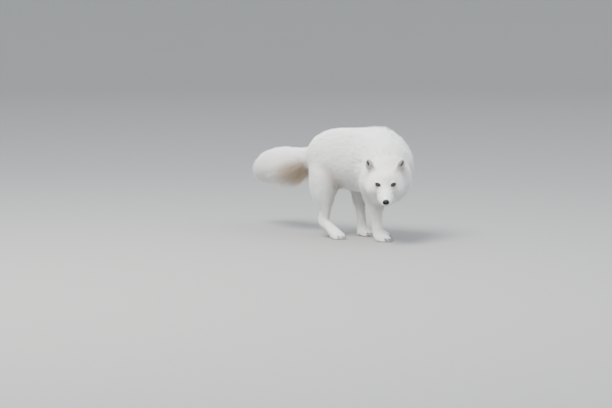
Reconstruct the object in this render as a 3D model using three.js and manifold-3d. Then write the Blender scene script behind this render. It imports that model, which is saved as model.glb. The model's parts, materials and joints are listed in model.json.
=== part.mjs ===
// An arctic fox in its winter coat, life size, standing with its back arched, its head low and turned to its
// right, and its hind feet gathered under it. Millimetres, +Z up, +X towards the chest, +Y to the fox's left.
//
// The animal is written once as a blended field: a function of a point that is negative inside the coat's
// outline. Each named part is then wrapped in rings that are cast out from the part's own path to that field,
// and parted from its neighbours by thin cuts, so the parts meet flush and never overlap.
import * as THREE from "three";
import { mergeVertices } from "three/addons/utils/BufferGeometryUtils.js";
import Module from "manifold-3d";

const wasm = await Module();
wasm.setup();

// ---------------------------------------------------------------- driving dimensions
const GAP = 0.35; // the thin cut between two parts
const WELD = 1e-3; // corners nearer than this are one
const BACK_HEIGHT = 338; // the top of the arched back
const BELLY_HEIGHT = 148; // the lowest fur of the belly
const TRUNK_HALF_WIDTH = 82;
const MIDLINE_CLEARANCE = 1; // how far each leg keeps from the plane between left and right
const EYE_RADIUS = 9.2;
const EYE_SPACING = 43; // between the centres of the two eyes
const EYE_PROUD = 1.8; // how far an eyeball stands out of the coat round it
const HEAD_TURN = -54; // degrees, from straight ahead to the fox's right
const HEAD_PITCH = 29; // degrees, the muzzle below the horizontal
const HEAD_PLACE = [223.5, -86, 198]; // the middle of the skull
const EAR_LENGTH = 65;
const EAR_WIDTH = 37;
const EAR_THICKNESS = 6.5;
const EAR_CUP = 118; // degrees that the cup's rim turns through at the root
const EAR_FLATTENING = 0.45; // the share of that turn lost at the tip
const EAR_ROUNDNESS = 3.2; // higher keeps the ear wide for longer
const EAR_TAPER = 0.12;
const EAR_EDGE = 0.35; // the share of its thickness lost at the rim
const EAR_INNER_LENGTH = 0.97; // of the outer length
const EAR_ROOT = [-3, 40, 6]; // on the head: forward, to the side, up
const EAR_LEAN = 10; // degrees outward
const EAR_TURN = 22; // degrees that the opening faces outward
const CLAW_LENGTH = 15;
const CLAW_RADIUS = 2.1;

// ---------------------------------------------------------------- vectors and fields
const point = (x, y, z) => new THREE.Vector3(x, y, z);
const degrees = THREE.MathUtils.degToRad;
const side = point(0, 1, 0);

function ellipsoid(centre, [a, b, c], turn = new THREE.Quaternion()) {
  const back = turn.clone().invert();
  return (p) => {
    const q = p.clone().sub(centre).applyQuaternion(back);
    const near = Math.hypot(q.x / a, q.y / b, q.z / c);
    const slope = Math.hypot(q.x / a ** 2, q.y / b ** 2, q.z / c ** 2);
    return slope === 0 ? -Math.min(a, b, c) : (near * (near - 1)) / slope;
  };
}

const pathOf = (joints) =>
  new THREE.CatmullRomCurve3(
    joints.map(([x, y, z]) => point(x, y, z)),
    false,
    "centripetal",
  );

// Joints are [x, y, z, radius]. The limb is one smooth bent cone through all of them.
function sampled(joints, stepsPerJoint = 5) {
  const line = pathOf(joints);
  const girth = new THREE.CatmullRomCurve3(joints.map((j, i) => point(i, j[3], 0)), false, "centripetal");
  const steps = (joints.length - 1) * stepsPerJoint;
  return Array.from({ length: steps + 1 }, (_, i) => ({
    at: line.getPoint(i / steps),
    radius: girth.getPoint(i / steps).y,
  }));
}

function limb(joints) {
  const line = sampled(joints);
  const along = new THREE.Vector3();
  const from = new THREE.Vector3();
  return (p) => {
    let least = Infinity;
    for (let i = 1; i < line.length; i++) {
      const a = line[i - 1];
      const b = line[i];
      along.subVectors(b.at, a.at);
      from.subVectors(p, a.at);
      const t = THREE.MathUtils.clamp(from.dot(along) / along.lengthSq(), 0, 1);
      const reach = from.addScaledVector(along, -t).length();
      least = Math.min(least, reach - THREE.MathUtils.lerp(a.radius, b.radius, t));
    }
    return least;
  };
}

// A union whose join is filled out to about a quarter of width.
function blend(width, ...fields) {
  return (p) =>
    fields
      .map((f) => f(p))
      .reduce((a, b) => Math.min(a, b) - Math.max(width - Math.abs(a - b), 0) ** 2 / (4 * width));
}

// ---------------------------------------------------------------- the head's own frame: forward, left, up
const headTurn = new THREE.Quaternion()
  .setFromAxisAngle(point(0, 0, 1), degrees(HEAD_TURN))
  .multiply(new THREE.Quaternion().setFromAxisAngle(point(0, 1, 0), degrees(HEAD_PITCH)));
const onHead = (forward, left, up) =>
  point(forward, left, up).applyQuaternion(headTurn).add(point(...HEAD_PLACE));
const headJoint = (forward, left, up, radius) => [...onHead(forward, left, up).toArray(), radius];
const headBall = (place, radii) => ellipsoid(onHead(...place), radii, headTurn);

// ---------------------------------------------------------------- flesh and coat
const ridge = BACK_HEIGHT - 4;
const trunk = blend(
  46,
  ellipsoid(point(-36, 0, 241), [76, TRUNK_HALF_WIDTH - 6, 80]), // haunches
  ellipsoid(point(32, 0, (ridge + BELLY_HEIGHT) / 2), [92, TRUNK_HALF_WIDTH - 6, (ridge - BELLY_HEIGHT) / 2]),
  ellipsoid(point(112, 0, 237), [88, TRUNK_HALF_WIDTH - 2, 93]), // ribs
  ellipsoid(point(158, 0, 222), [50, TRUNK_HALF_WIDTH - 2, 84]), // shoulders and breast
);

const neckJoints = [
  [120, 0, 246, 78],
  [158, -2, 228, 78],
  [196, -34, 208, 72],
  headJoint(-50, -2, -18, 62),
];

const skull = blend(
  14,
  headBall([-6, 0, 6], [50, 47, 38]),
  headBall([20, 0, 5], [28, 41, 20]), // brow and the sides of the face
  headBall([14, 32, -20], [34, 30, 30]), // cheeks
  headBall([14, -32, -20], [34, 30, 30]),
  limb([headJoint(34, 0, -10, 26), headJoint(64, 0, -15, 20), headJoint(92, 0, -19, 14.5)]),
  headBall([82, 8, -23], [17, 10, 8.5]), // whisker pads
  headBall([82, -8, -23], [17, 10, 8.5]),
);
const ruff = headBall([-19, -1, -37], [45, 73, 69]);
const jawJoints = [headJoint(6, 0, -44, 22), headJoint(52, 0, -35, 12), headJoint(82, 0, -29, 7)];

const tailJoints = [
  [-66, 0, 242, 28],
  [-108, 2, 237, 31],
  [-150, 9, 229, 37],
  [-195, 22, 217, 50],
  [-250, 41, 206, 57],
  [-310, 66, 194, 55],
  [-352, 86, 185, 41],
  [-378, 99, 180, 20],
];

// Each leg's joints run from inside the body to the ball of its foot. ankle is the joint where leg and foot
// are parted, and heading turns the foot, in degrees.
const legs = {
  fore_right: {
    joints: [
      [166, -36, 202, 42],
      [150, -46, 158, 31],
      [163, -45, 108, 21],
      [167, -42, 62, 16.5],
      [170, -42, 30, 16],
    ],
    ankle: 3,
    foot: { ball: [182, -42], heading: 0, width: 19.5, length: 28 },
  },
  fore_left: {
    joints: [
      [158, 36, 202, 42],
      [126, 44, 158, 31],
      [118, 40, 108, 20],
      [113, 34, 62, 16.5],
      [115, 32, 30, 16],
    ],
    ankle: 3,
    foot: { ball: [127, 32], heading: 0, width: 19.5, length: 28 },
  },
  hind_right: {
    joints: [
      [-40, -34, 222, 42],
      [-31, -43, 176, 47],
      [-27, -51, 138, 36],
      [-22, -52, 105, 25],
      [-19, -52, 75, 17.5],
      [-26, -52, 50, 18.5],
      [3, -60.5, 33, 16],
      [30, -67.5, 18, 16],
    ],
    ankle: 5,
    foot: { ball: [35, -69], heading: -15, width: 19, length: 27 },
  },
  hind_left: {
    joints: [
      [-40, 34, 222, 42],
      [6, 43, 200, 42],
      [37, 46, 154, 29],
      [42, 46, 100, 19],
      [49, 45, 58, 15],
      [52, 45, 24, 16],
    ],
    ankle: 3,
    foot: { ball: [58, 45], heading: 0, width: 19, length: 27 },
  },
};

const TOES = [-1.5, -0.5, 0.5, 1.5]; // across the foot, in toe widths
const TOE_SPREAD = 0.92;
const toeReach = (across, length) => length * (Math.abs(across) < 1 ? 0.62 : 0.42); // the middle toes lead

// The foot: a low pad, four toes and a flat sole on the floor.
function foot({ ball: [x, y], heading, width, length }) {
  const turn = new THREE.Quaternion().setFromAxisAngle(point(0, 0, 1), degrees(heading));
  const place = (forward, left, up) => point(forward, left, up).applyQuaternion(turn).add(point(x, y, 0));
  const toeWidth = width * 0.52;
  const toes = TOES.map((across) => {
    const centre = place(toeReach(across, length), across * toeWidth * TOE_SPREAD, 9.5);
    return ellipsoid(centre, [14, toeWidth * 0.62, 11.5], turn);
  });
  const pad = ellipsoid(place(-3, 0, 12), [length * 0.86, width * 0.92, 16], turn);
  return { place, toeWidth, length, field: blend(5, pad, ...toes) };
}

const feet = Object.fromEntries(Object.entries(legs).map(([name, leg]) => [name, foot(leg.foot)]));
const aboveFloor = (field) => (p) => Math.max(field(p), -p.z); // the floor flattens the soles
const legFields = Object.fromEntries(
  Object.keys(legs).map((name) => [name, aboveFloor(blend(12, limb(legs[name].joints), feet[name].field))]),
);
const torso = blend(34, blend(40, trunk, limb(neckJoints)), ruff);
const spineField = blend(22, torso, skull, limb(jawJoints));

// ---------------------------------------------------------------- wrapping a path in rings
const RING_SMOOTHING = 0.8; // in joints, the stretch a ring's direction is taken over
const CAST_STEP = 3;
const CAST_HALVINGS = 22;
const CAST_LIMIT = 160; // longer than any ring's reach

// The point where the field, followed from start along direction, reaches level.
function cast(field, start, direction, level) {
  const at = (reach) => start.clone().addScaledVector(direction, reach);
  let inside = 0;
  let outside = CAST_STEP;
  while (outside < CAST_LIMIT && field(at(outside)) < level) {
    inside = outside;
    outside += CAST_STEP;
  }
  for (let i = 0; i < CAST_HALVINGS; i++) {
    const middle = (inside + outside) / 2;
    if (field(at(middle)) < level) inside = middle;
    else outside = middle;
  }
  return at(inside);
}

// The way the line runs near t, evened out over the stretch so that rings don't cross in a sharp bend.
const directionOf = (line, t, stretch) =>
  line
    .getPoint(Math.min(1, t + stretch))
    .sub(line.getPoint(Math.max(0, t - stretch)))
    .normalize();

// The three axes of a ring: left and over lie in its plane, ahead is square to it.
function squareTo(ahead, across) {
  const left = across.clone().addScaledVector(ahead, -across.dot(ahead)).normalize();
  return { left, over: new THREE.Vector3().crossVectors(ahead, left), ahead };
}

// Rings round a path, so many from each joint to the next. Both ends are round: their rings fan out from the
// path's ends.
// grow makes the same shape larger all over, for cutting a neighbour with.
function wrap({ field, path, axes, rings, segments, capRings }, grow = 0) {
  const line = pathOf(path);
  const axesAt = axes ?? ((t) => squareTo(directionOf(line, t, RING_SMOOTHING / (path.length - 1)), side));
  const step = Math.PI / 2 / (capRings + 1);
  const fan = (t, sign) => Array.from({ length: capRings }, (_, i) => ({ t, lift: sign * (i + 1) * step }));
  const spans = path.length - 1;
  const inSpan = (span) => (Array.isArray(rings) ? rings[span] : rings);
  const along = Array.from({ length: spans }, (_, span) =>
    Array.from({ length: inSpan(span) }, (_, i) => ({ t: (span + i / inSpan(span)) / spans, lift: 0 })),
  ).flat();
  along.push({ t: 1, lift: 0 });
  const stations = [...fan(0, -1).reverse(), ...along, ...fan(1, 1)];

  const positions = [];
  const put = (p) => positions.push(p.x, p.y, p.z);
  put(cast(field, line.getPoint(0), axesAt(0).ahead.clone().negate(), grow));
  for (const { t, lift } of stations) {
    const { left, over, ahead } = axesAt(t);
    const centre = line.getPoint(t);
    for (let j = 0; j < segments; j++) {
      const angle = (2 * Math.PI * j) / segments;
      const direction = point(0, 0, 0)
        .addScaledVector(left, Math.cos(angle) * Math.cos(lift))
        .addScaledVector(over, Math.sin(angle) * Math.cos(lift))
        .addScaledVector(ahead, Math.sin(lift));
      put(cast(field, centre, direction, grow));
    }
  }
  put(cast(field, line.getPoint(1), axesAt(1).ahead, grow));

  return solid(positions, tubeFaces(stations.length, segments));
}

// ---------------------------------------------------------------- solids and meshes
// The faces of a tube whose points are one pole, then the rings, then the other pole.
function tubeFaces(rings, segments) {
  const last = 1 + rings * segments;
  const ring = (row, j) => 1 + row * segments + (j % segments);
  const faces = [];
  for (let j = 0; j < segments; j++) {
    faces.push(0, ring(0, j + 1), ring(0, j));
    faces.push(last, ring(rings - 1, j), ring(rings - 1, j + 1));
    for (let row = 1; row < rings; row++) {
      faces.push(ring(row - 1, j), ring(row - 1, j + 1), ring(row, j + 1));
      faces.push(ring(row - 1, j), ring(row, j + 1), ring(row, j));
    }
  }
  return faces;
}

function solid(positions, faces) {
  const mesh = new wasm.Mesh({
    numProp: 3,
    vertProperties: new Float32Array(positions),
    triVerts: new Uint32Array(faces),
  });
  return new wasm.Manifold(mesh);
}

function solidOf(geometry) {
  const bare = geometry.clone().deleteAttribute("normal").deleteAttribute("uv");
  const merged = mergeVertices(bare, WELD);
  return solid(merged.attributes.position.array, merged.index.array);
}

// The largest piece: a cut may leave crumbs where two faceted surfaces run close together.
const largest = (shape) => shape.decompose().reduce((a, b) => (a.volume() > b.volume() ? a : b));
const without = (shape, ...cutters) =>
  largest(cutters.reduce((left, cutter) => left.subtract(cutter), shape));

// The two pieces behind and ahead of a thin plane cut.
function parted(shape, { centre, normal }) {
  const turn = new THREE.Quaternion().setFromUnitVectors(point(1, 0, 0), normal.clone().normalize());
  const half = (sign) => {
    const block = new THREE.BoxGeometry(2 * CAST_LIMIT, 4 * CAST_LIMIT, 4 * CAST_LIMIT);
    block.translate(sign * (CAST_LIMIT - GAP / 2), 0, 0).applyQuaternion(turn);
    return solidOf(block.translate(centre.x, centre.y, centre.z));
  };
  return [without(shape, half(1)), without(shape, half(-1))];
}

function geometryOf(shape) {
  const { vertProperties, triVerts, numProp } = shape.getMesh();
  const positions = vertProperties.filter((_, i) => i % numProp < 3);
  const geometry = new THREE.BufferGeometry()
    .setAttribute("position", new THREE.BufferAttribute(positions, 3))
    .setIndex([...triVerts]);
  return mergeVertices(geometry, WELD);
}

// Welding the corners of hair-thin slivers can part them from the whole, so the largest piece is taken again.
function meshOf(name, shape, material) {
  const geometry = geometryOf(largest(solidOf(geometryOf(shape))));
  geometry.computeVertexNormals();
  const mesh = new THREE.Mesh(geometry, material.clone());
  mesh.name = name;
  return mesh;
}

// ---------------------------------------------------------------- the parts' paths
// The trunk, neck and head are one tube from the rump to the muzzle. Its rings turn with the neck: each joint
// is a place and the ring's yaw and pitch there, in degrees. They lie closer on the head.
const BODY_RINGS = 2; // from one joint to the next
const FACE_RINGS = 3;
const turned = (place, yaw, pitch) => ({ place, yaw, pitch, rings: BODY_RINGS });
const faced = (forward, up) => ({
  ...turned(onHead(forward, 0, up).toArray(), HEAD_TURN, HEAD_PITCH),
  rings: FACE_RINGS,
});
const spineJoints = [
  turned([-34, 0, 240], 0, 0),
  turned([30, 0, 244], 0, 0),
  turned([90, 0, 242], -4, 3),
  turned([135, -3, 234], -14, 9),
  turned([175, -20, 221], -28, 16),
  turned(onHead(-34, 0, -10).toArray(), -42, 24),
  faced(-6, -10),
  faced(20, -10),
  faced(42, -10),
  faced(64, -16),
  faced(88, -19),
];
const spineWrap = {
  field: spineField,
  path: spineJoints.map((joint) => joint.place),
  axes: (t) => {
    const along = t * (spineJoints.length - 1);
    const index = Math.min(Math.floor(along), spineJoints.length - 2);
    const [a, b] = [spineJoints[index], spineJoints[index + 1]];
    const yaw = THREE.MathUtils.lerp(a.yaw, b.yaw, along - index);
    const pitch = THREE.MathUtils.lerp(a.pitch, b.pitch, along - index);
    const turn = new THREE.Quaternion().setFromEuler(new THREE.Euler(0, degrees(pitch), degrees(yaw), "ZYX"));
    return squareTo(point(1, 0, 0).applyQuaternion(turn), point(0, 1, 0).applyQuaternion(turn));
  },
  segments: 28,
  rings: spineJoints.slice(0, -1).map((joint) => joint.rings),
  capRings: 4,
};
const NECK_CUT = { centre: point(138, -3, 234), normal: point(0.96, -0.24, -0.16) };
const HEAD_CUT = { centre: onHead(-32, 0, -10), normal: point(0.68, -0.6, -0.42) };

const tailWrap = {
  field: limb(tailJoints),
  path: [[-84, 0, 240], ...tailJoints.slice(1, -1).map(([x, y, z]) => [x, y, z])],
  segments: 17,
  rings: 2,
  capRings: 2,
};

// A leg's rings follow its joints and then run out over the foot to the toes. It keeps to its own side.
function legWrap(name) {
  const { place, length } = feet[name];
  const joints = legs[name].joints.slice(0, legs[name].ankle + 2);
  const ownSide = Math.sign(joints[0][1]);
  return {
    field: (p) => Math.max(legFields[name](p), MIDLINE_CLEARANCE - ownSide * p.y),
    path: [...joints, place(-length * 0.1, 0, 12).toArray(), place(length * 0.52, 0, 9).toArray()],
    segments: 14,
    rings: 2,
    capRings: 3,
  };
}

function ankleCut(name) {
  const { joints, ankle } = legs[name];
  const line = pathOf(joints);
  const t = ankle / (joints.length - 1);
  return { centre: line.getPoint(t), normal: line.getTangent(t) };
}

// ---------------------------------------------------------------- ears, eyes, nose and claws
// The faces between two sheets of points, and round their shared edge.
function shellFaces(rows, columns) {
  const cell = (sheet, i, j) => (sheet * (rows + 1) + i) * (columns + 1) + j;
  const faces = [];
  const quad = (a, b, c, d) => faces.push(a, c, b, a, d, c);
  for (let i = 0; i < rows; i++) {
    for (let j = 0; j < columns; j++) {
      quad(cell(0, i, j), cell(0, i, j + 1), cell(0, i + 1, j + 1), cell(0, i + 1, j));
      quad(cell(1, i, j), cell(1, i + 1, j), cell(1, i + 1, j + 1), cell(1, i, j + 1));
    }
    quad(cell(0, i, 0), cell(0, i + 1, 0), cell(1, i + 1, 0), cell(1, i, 0));
    quad(cell(0, i, columns), cell(1, i, columns), cell(1, i + 1, columns), cell(0, i + 1, columns));
  }
  for (let j = 0; j < columns; j++) {
    quad(cell(0, 0, j), cell(1, 0, j), cell(1, 0, j + 1), cell(0, 0, j + 1));
    quad(cell(0, rows, j), cell(0, rows, j + 1), cell(1, rows, j + 1), cell(1, rows, j));
  }
  return faces;
}

// An ear is a leaf bent into a cup that opens forward: along its length it narrows to a round tip.
function earPoint(sign, along, across, inner, grow) {
  const halfWidth = (EAR_WIDTH / 2 + grow) * Math.sqrt(1 - along ** EAR_ROUNDNESS) * (1 - EAR_TAPER * along);
  const bow = degrees(EAR_CUP) * (1 - EAR_FLATTENING * along);
  const radius = (2 * halfWidth) / bow;
  const edge = (1 - EAR_EDGE * across ** 2) * Math.sqrt(1 - along ** 4);
  const thickness = (EAR_THICKNESS / 2) * edge + grow;
  const out = radius + (inner ? -thickness : thickness);
  const angle = (across * bow) / 2;
  const length = (EAR_LENGTH + grow) * along * (inner ? EAR_INNER_LENGTH : 1);
  const splay = new THREE.Euler(degrees(-sign * EAR_LEAN), degrees(2), degrees(sign * EAR_TURN));
  return point(radius * Math.cos(bow / 2) - out * Math.cos(angle), out * Math.sin(angle), length)
    .applyQuaternion(headTurn.clone().multiply(new THREE.Quaternion().setFromEuler(splay)))
    .add(onHead(EAR_ROOT[0], sign * EAR_ROOT[1], EAR_ROOT[2]));
}

function ear(sign, grow = 0) {
  const LENGTHS = 7;
  const WIDTHS = 8;
  const TIP = 0.99; // short of 1, so that the tip keeps a small width
  const positions = [];
  for (const inner of [false, true])
    for (let i = 0; i <= LENGTHS; i++)
      for (let j = 0; j <= WIDTHS; j++)
        positions.push(...earPoint(sign, (TIP * i) / LENGTHS, (2 * j) / WIDTHS - 1, inner, grow).toArray());
  return solid(positions, shellFaces(LENGTHS, WIDTHS));
}

function eye(sign, grow = 0) {
  const ahead = onHead(1, 0, 0).sub(onHead(0, 0, 0));
  const lid = cast(spineField, onHead(20, (sign * EYE_SPACING) / 2, 6), ahead, 0);
  const centre = lid.addScaledVector(ahead, EYE_PROUD - EYE_RADIUS);
  return solidOf(new THREE.SphereGeometry(EYE_RADIUS + grow, 12, 9).translate(...centre.toArray()));
}

const noseField = blend(
  4,
  headBall([104, 0, -15], [7, 9.2, 7.4]),
  headBall([102, 4.5, -19], [6, 5, 5]),
  headBall([102, -4.5, -19], [6, 5, 5]),
);
const noseWrap = {
  field: noseField,
  path: [onHead(101, 0, -17).toArray(), onHead(105, 0, -17).toArray()],
  segments: 12,
  rings: 2,
  capRings: 2,
};

// A claw is a small hook, blunt at its root inside the toe and pointed at its tip.
function claw(name, toe) {
  const { place, toeWidth, length } = feet[name];
  const left = TOES[toe] * toeWidth * TOE_SPREAD;
  const root = toeReach(TOES[toe], length) + 8;
  const hook = new THREE.CatmullRomCurve3([
    place(root, left, 9),
    place(root + CLAW_LENGTH * 0.5, left, 8.4),
    place(root + CLAW_LENGTH, left, 3.4),
  ]);
  const STEPS = 3;
  const SIDES = 5;
  const across = place(0, 1, 0).sub(place(0, 0, 0));
  const positions = [...hook.getPoint(0).toArray()];
  for (let i = 0; i < STEPS; i++) {
    const t = i / STEPS;
    const over = new THREE.Vector3().crossVectors(hook.getTangent(t), across);
    const radius = CLAW_RADIUS * (1 - t) ** 0.6;
    for (let j = 0; j < SIDES; j++) {
      const angle = (2 * Math.PI * j) / SIDES;
      const rim = hook.getPoint(t).addScaledVector(across, 0.8 * radius * Math.cos(angle));
      positions.push(...rim.addScaledVector(over, radius * Math.sin(angle)).toArray());
    }
  }
  positions.push(...hook.getPoint(1).toArray());
  return solid(positions, tubeFaces(STEPS, SIDES));
}

// ---------------------------------------------------------------- assembly
const paint = (color, roughness) => new THREE.MeshStandardMaterial({ color, roughness, metalness: 0 });
const WHITE_COAT = paint(0xf2f1ec, 0.95);
const EAR_COAT = paint(0xe4dfd6, 0.95);
const EYE_BROWN = paint(0x3a1c0e, 0.15);
const NOSE_BLACK = paint(0x121214, 0.4);
const CLAW_HORN = paint(0x54493e, 0.5);

const fox = new THREE.Group();
fox.name = "arctic_fox";
const parts = new THREE.Group();
fox.add(parts);
const add = (name, shape, material) => parts.add(meshOf(name, shape, material));

const sides = { left: 1, right: -1 };
const sockets = [wrap(noseWrap, GAP), eye(1, GAP), eye(-1, GAP)];
const tailCutter = wrap(tailWrap, GAP);
const legCutters = Object.keys(legs).map((name) => wrap(legWrap(name), GAP));
const spine = without(wrap(spineWrap), ...sockets, tailCutter, ...legCutters);
const [torsoPiece, head] = parted(spine, HEAD_CUT);
const [trunkPiece, neck] = parted(torsoPiece, NECK_CUT);
add("trunk", trunkPiece, WHITE_COAT);
add("neck", neck, WHITE_COAT);
add("head", head, WHITE_COAT);
add("nose", wrap(noseWrap), NOSE_BLACK);

const spineCutter = wrap(spineWrap, GAP);
for (const [name, sign] of Object.entries(sides)) {
  add("eye_" + name, eye(sign), EYE_BROWN);
  add("ear_" + name, without(ear(sign), spineCutter), EAR_COAT);
}

for (const name of Object.keys(legs)) {
  const footCutter = wrap(legWrap(name), GAP);
  const [leg, paw] = parted(wrap(legWrap(name)), ankleCut(name));
  add(name.replace("_", "_leg_"), without(leg, tailCutter), WHITE_COAT);
  add(name.replace("_", "_foot_"), paw, WHITE_COAT);
  TOES.forEach((_, toe) => {
    add(`${name.replace("_", "_claw_")}_${toe + 1}`, without(claw(name, toe), footCutter), CLAW_HORN);
  });
}
add("tail", wrap(tailWrap), WHITE_COAT);

// The origin is on the floor, under the middle of the animal.
const box = new THREE.Box3().setFromObject(parts);
const middle = box.getCenter(new THREE.Vector3());
parts.position.set(-middle.x, -middle.y, -box.min.z);

export default fox;
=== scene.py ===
import json
import math

import bmesh
import bpy
import numpy as np
from mathutils import Matrix, Vector
from mathutils.bvhtree import BVHTree
from mathutils.kdtree import KDTree


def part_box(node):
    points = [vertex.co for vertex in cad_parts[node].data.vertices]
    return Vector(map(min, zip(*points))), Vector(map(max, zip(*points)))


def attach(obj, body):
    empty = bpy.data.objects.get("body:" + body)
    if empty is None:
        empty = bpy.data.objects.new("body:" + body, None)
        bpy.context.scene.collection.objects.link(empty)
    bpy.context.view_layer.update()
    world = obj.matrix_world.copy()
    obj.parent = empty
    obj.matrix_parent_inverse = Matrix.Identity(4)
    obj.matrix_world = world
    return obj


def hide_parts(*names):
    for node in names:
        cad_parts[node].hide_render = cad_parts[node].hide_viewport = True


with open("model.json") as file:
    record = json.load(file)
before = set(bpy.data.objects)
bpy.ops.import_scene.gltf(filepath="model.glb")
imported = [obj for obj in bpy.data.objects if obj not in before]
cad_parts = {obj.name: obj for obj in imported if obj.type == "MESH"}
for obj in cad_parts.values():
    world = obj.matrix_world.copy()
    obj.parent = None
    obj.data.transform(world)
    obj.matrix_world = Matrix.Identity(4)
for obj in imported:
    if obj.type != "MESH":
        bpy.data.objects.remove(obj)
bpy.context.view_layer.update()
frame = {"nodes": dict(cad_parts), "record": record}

MM = 0.001
SIDES = {1: "left", -1: "right"}  # which way along LEFT each side lies


# ---------------------------------------------------------------- the animal's own frames
# The soles' mounts tie the solids' own millimetre frame to the row frame.
FEET = {  # ball of the foot on the floor, heading in degrees, width and length, in millimetres
    "fore_right": ((182, -42), 0, 19.5, 28),
    "fore_left": ((127, 32), 0, 19.5, 28),
    "hind_right": ((35, -69), -15, 19, 27),
    "hind_left": ((58, 45), 0, 19, 27),
}
soles = {m["name"]: m["pos_m"] for m in frame["record"]["mounts"]}
SHIFT = np.array(soles["sole_fore_right"]) - np.array([*FEET["fore_right"][0], 0]) * MM


def here(x, y, z):
    """A place in the solids' own millimetres, in the row frame."""
    return np.array([x, y, z], float) * MM + SHIFT


def unit(v):
    v = np.asarray(v, float)
    return v / np.maximum(np.linalg.norm(v, axis=-1, keepdims=True), 1e-12)


TURN, PITCH = math.radians(-54), math.radians(29)  # the head is turned to its right and dipped
HEAD = here(223.5, -86, 198)  # the middle of the skull
FORWARD = np.array([
    math.cos(TURN) * math.cos(PITCH),
    math.sin(TURN) * math.cos(PITCH),
    -math.sin(PITCH),
])
LEFT = np.array([-math.sin(TURN), math.cos(TURN), 0.0])
UP = np.cross(FORWARD, LEFT)


def on_head(forward, left, up):
    """A place on the head: millimetres forward, left and up from the middle of the skull."""
    return HEAD + (forward * FORWARD + left * LEFT + up * UP) * MM


def head_coords(p):
    """How far forward, left and up of the middle of the skull each point lies, in millimetres."""
    q = (p - HEAD) / MM
    return q @ FORWARD, q @ LEFT, q @ UP


def smoothstep(a, b, x):
    """0 at a and 1 at b, eased at both ends."""
    t = np.clip((x - a) / (b - a), 0, 1)
    return t * t * (3 - 2 * t)


def mix(a, b, t):
    """a where t is 0 and b where t is 1."""
    return a + (b - a) * t


def waves(p, size, seed, count=7):
    """Smooth noise from -1 to 1 with features about size across, at each point."""
    r = np.random.default_rng(seed)
    k = unit(r.normal(size=(count, 3))) * r.uniform(0.7, 1.5, (count, 1)) * (2 * math.pi / size)
    phase = r.uniform(0, 2 * math.pi, count)
    return np.sin(p @ k.T + phase).sum(1) / math.sqrt(count)


def mound(x, y, z, middle, size):
    """1 at the middle of a soft mound, falling off over its size along each axis."""
    terms = [((q - m) / r) ** 2 for q, m, r in zip((x, y, z), middle, size)]
    return np.exp(-(terms[0] + terms[1] + terms[2]))


# ---------------------------------------------------------------- mesh helpers
def mesh_object(name, verts, faces, smooth=True):
    """A mesh object from vertex places and an array or list of faces."""
    me = bpy.data.meshes.new(name)
    if isinstance(faces, np.ndarray):
        n, k = faces.shape
        me.vertices.add(len(verts))
        me.vertices.foreach_set("co", np.asarray(verts, np.float32).ravel())
        me.loops.add(n * k)
        me.loops.foreach_set("vertex_index", faces.astype(np.int32).ravel())
        me.polygons.add(n)
        me.polygons.foreach_set("loop_start", np.arange(0, n * k, k, dtype=np.int32))
        me.update(calc_edges=True)
    else:
        me.from_pydata([tuple(v) for v in verts], [], faces)
        me.update()
    me.polygons.foreach_set("use_smooth", np.full(len(me.polygons), smooth))
    ob = bpy.data.objects.new(name, me)
    bpy.context.scene.collection.objects.link(ob)
    return ob


def arrays(me):
    """(vertices, triangles) of a mesh made of triangles."""
    v = np.empty(len(me.vertices) * 3, np.float32)
    me.vertices.foreach_get("co", v)
    f = np.empty(len(me.loops), np.int32)
    me.loops.foreach_get("vertex_index", f)
    return v.reshape(-1, 3).astype(float), f.reshape(-1, 3)


def face_cross(v, f):
    """Each triangle's normal, twice its area long."""
    return np.cross(v[f[:, 1]] - v[f[:, 0]], v[f[:, 2]] - v[f[:, 0]])


def vertex_normals(v, f):
    n = face_cross(v, f)
    out = np.zeros_like(v)
    for c in range(3):
        for k in range(3):
            out[:, k] += np.bincount(f[:, c], n[:, k], len(v))
    return unit(out)


def foot_axes(name):
    """The way a foot points and the way to its left."""
    a = math.radians(FEET[name][1])
    return np.array([math.cos(a), math.sin(a), 0.0]), np.array([-math.sin(a), math.cos(a), 0.0])


def foot_place(name, forward, left, up):
    """A place on a foot, in millimetres from the floor under its ball."""
    ahead, aside = foot_axes(name)
    return here(*FEET[name][0], up) + (forward * ahead + left * aside) * MM


class Web:
    """The neighbours of each vertex, for smoothing what the vertices carry."""

    def __init__(self, f, count):
        e = np.sort(np.concatenate([f[:, [0, 1]], f[:, [1, 2]], f[:, [2, 0]]]), axis=1)
        e = np.unique(e, axis=0)
        self.a, self.b, self.count = e[:, 0], e[:, 1], count
        ends = np.bincount(self.a, minlength=count) + np.bincount(self.b, minlength=count)
        self.degree = np.maximum(ends, 1)

    def mean(self, x):
        """The mean over each vertex's neighbours."""
        if x.ndim == 1:
            total = np.bincount(self.a, x[self.b], self.count) + np.bincount(self.b, x[self.a], self.count)
            return total / self.degree
        return np.stack([self.mean(x[:, k]) for k in range(x.shape[1])], 1)

    def smooth(self, x, times, share=0.5, keep=None):
        """x drawn towards its neighbours' mean by share, many times; keep is 1 where it stays."""
        for _ in range(times):
            new = mix(x, self.mean(x), share)
            x = new if keep is None else mix(new, x, keep[:, None] if x.ndim > 1 else keep)
        return x

    def fair(self, x, times, keep):
        """Smooths a shape without shrinking it: each pull inwards is followed by a push outwards."""
        pull, push = 0.6, 0.62
        for _ in range(times):
            x = mix(mix(x, self.mean(x), pull), x, keep[:, None])
            x = x + (x - self.mean(x)) * push * (1 - keep)[:, None]
        return x


# ---------------------------------------------------------------- the skin: one surface through the flesh
FLESH = [n for n in frame["nodes"] if not n.startswith("eye") and n != "nose" and "_claw_" not in n]
SKIN_VOXEL = 3.15 * MM
SWELL = 0.4 * MM  # closes the thin cuts between the solids


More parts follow.
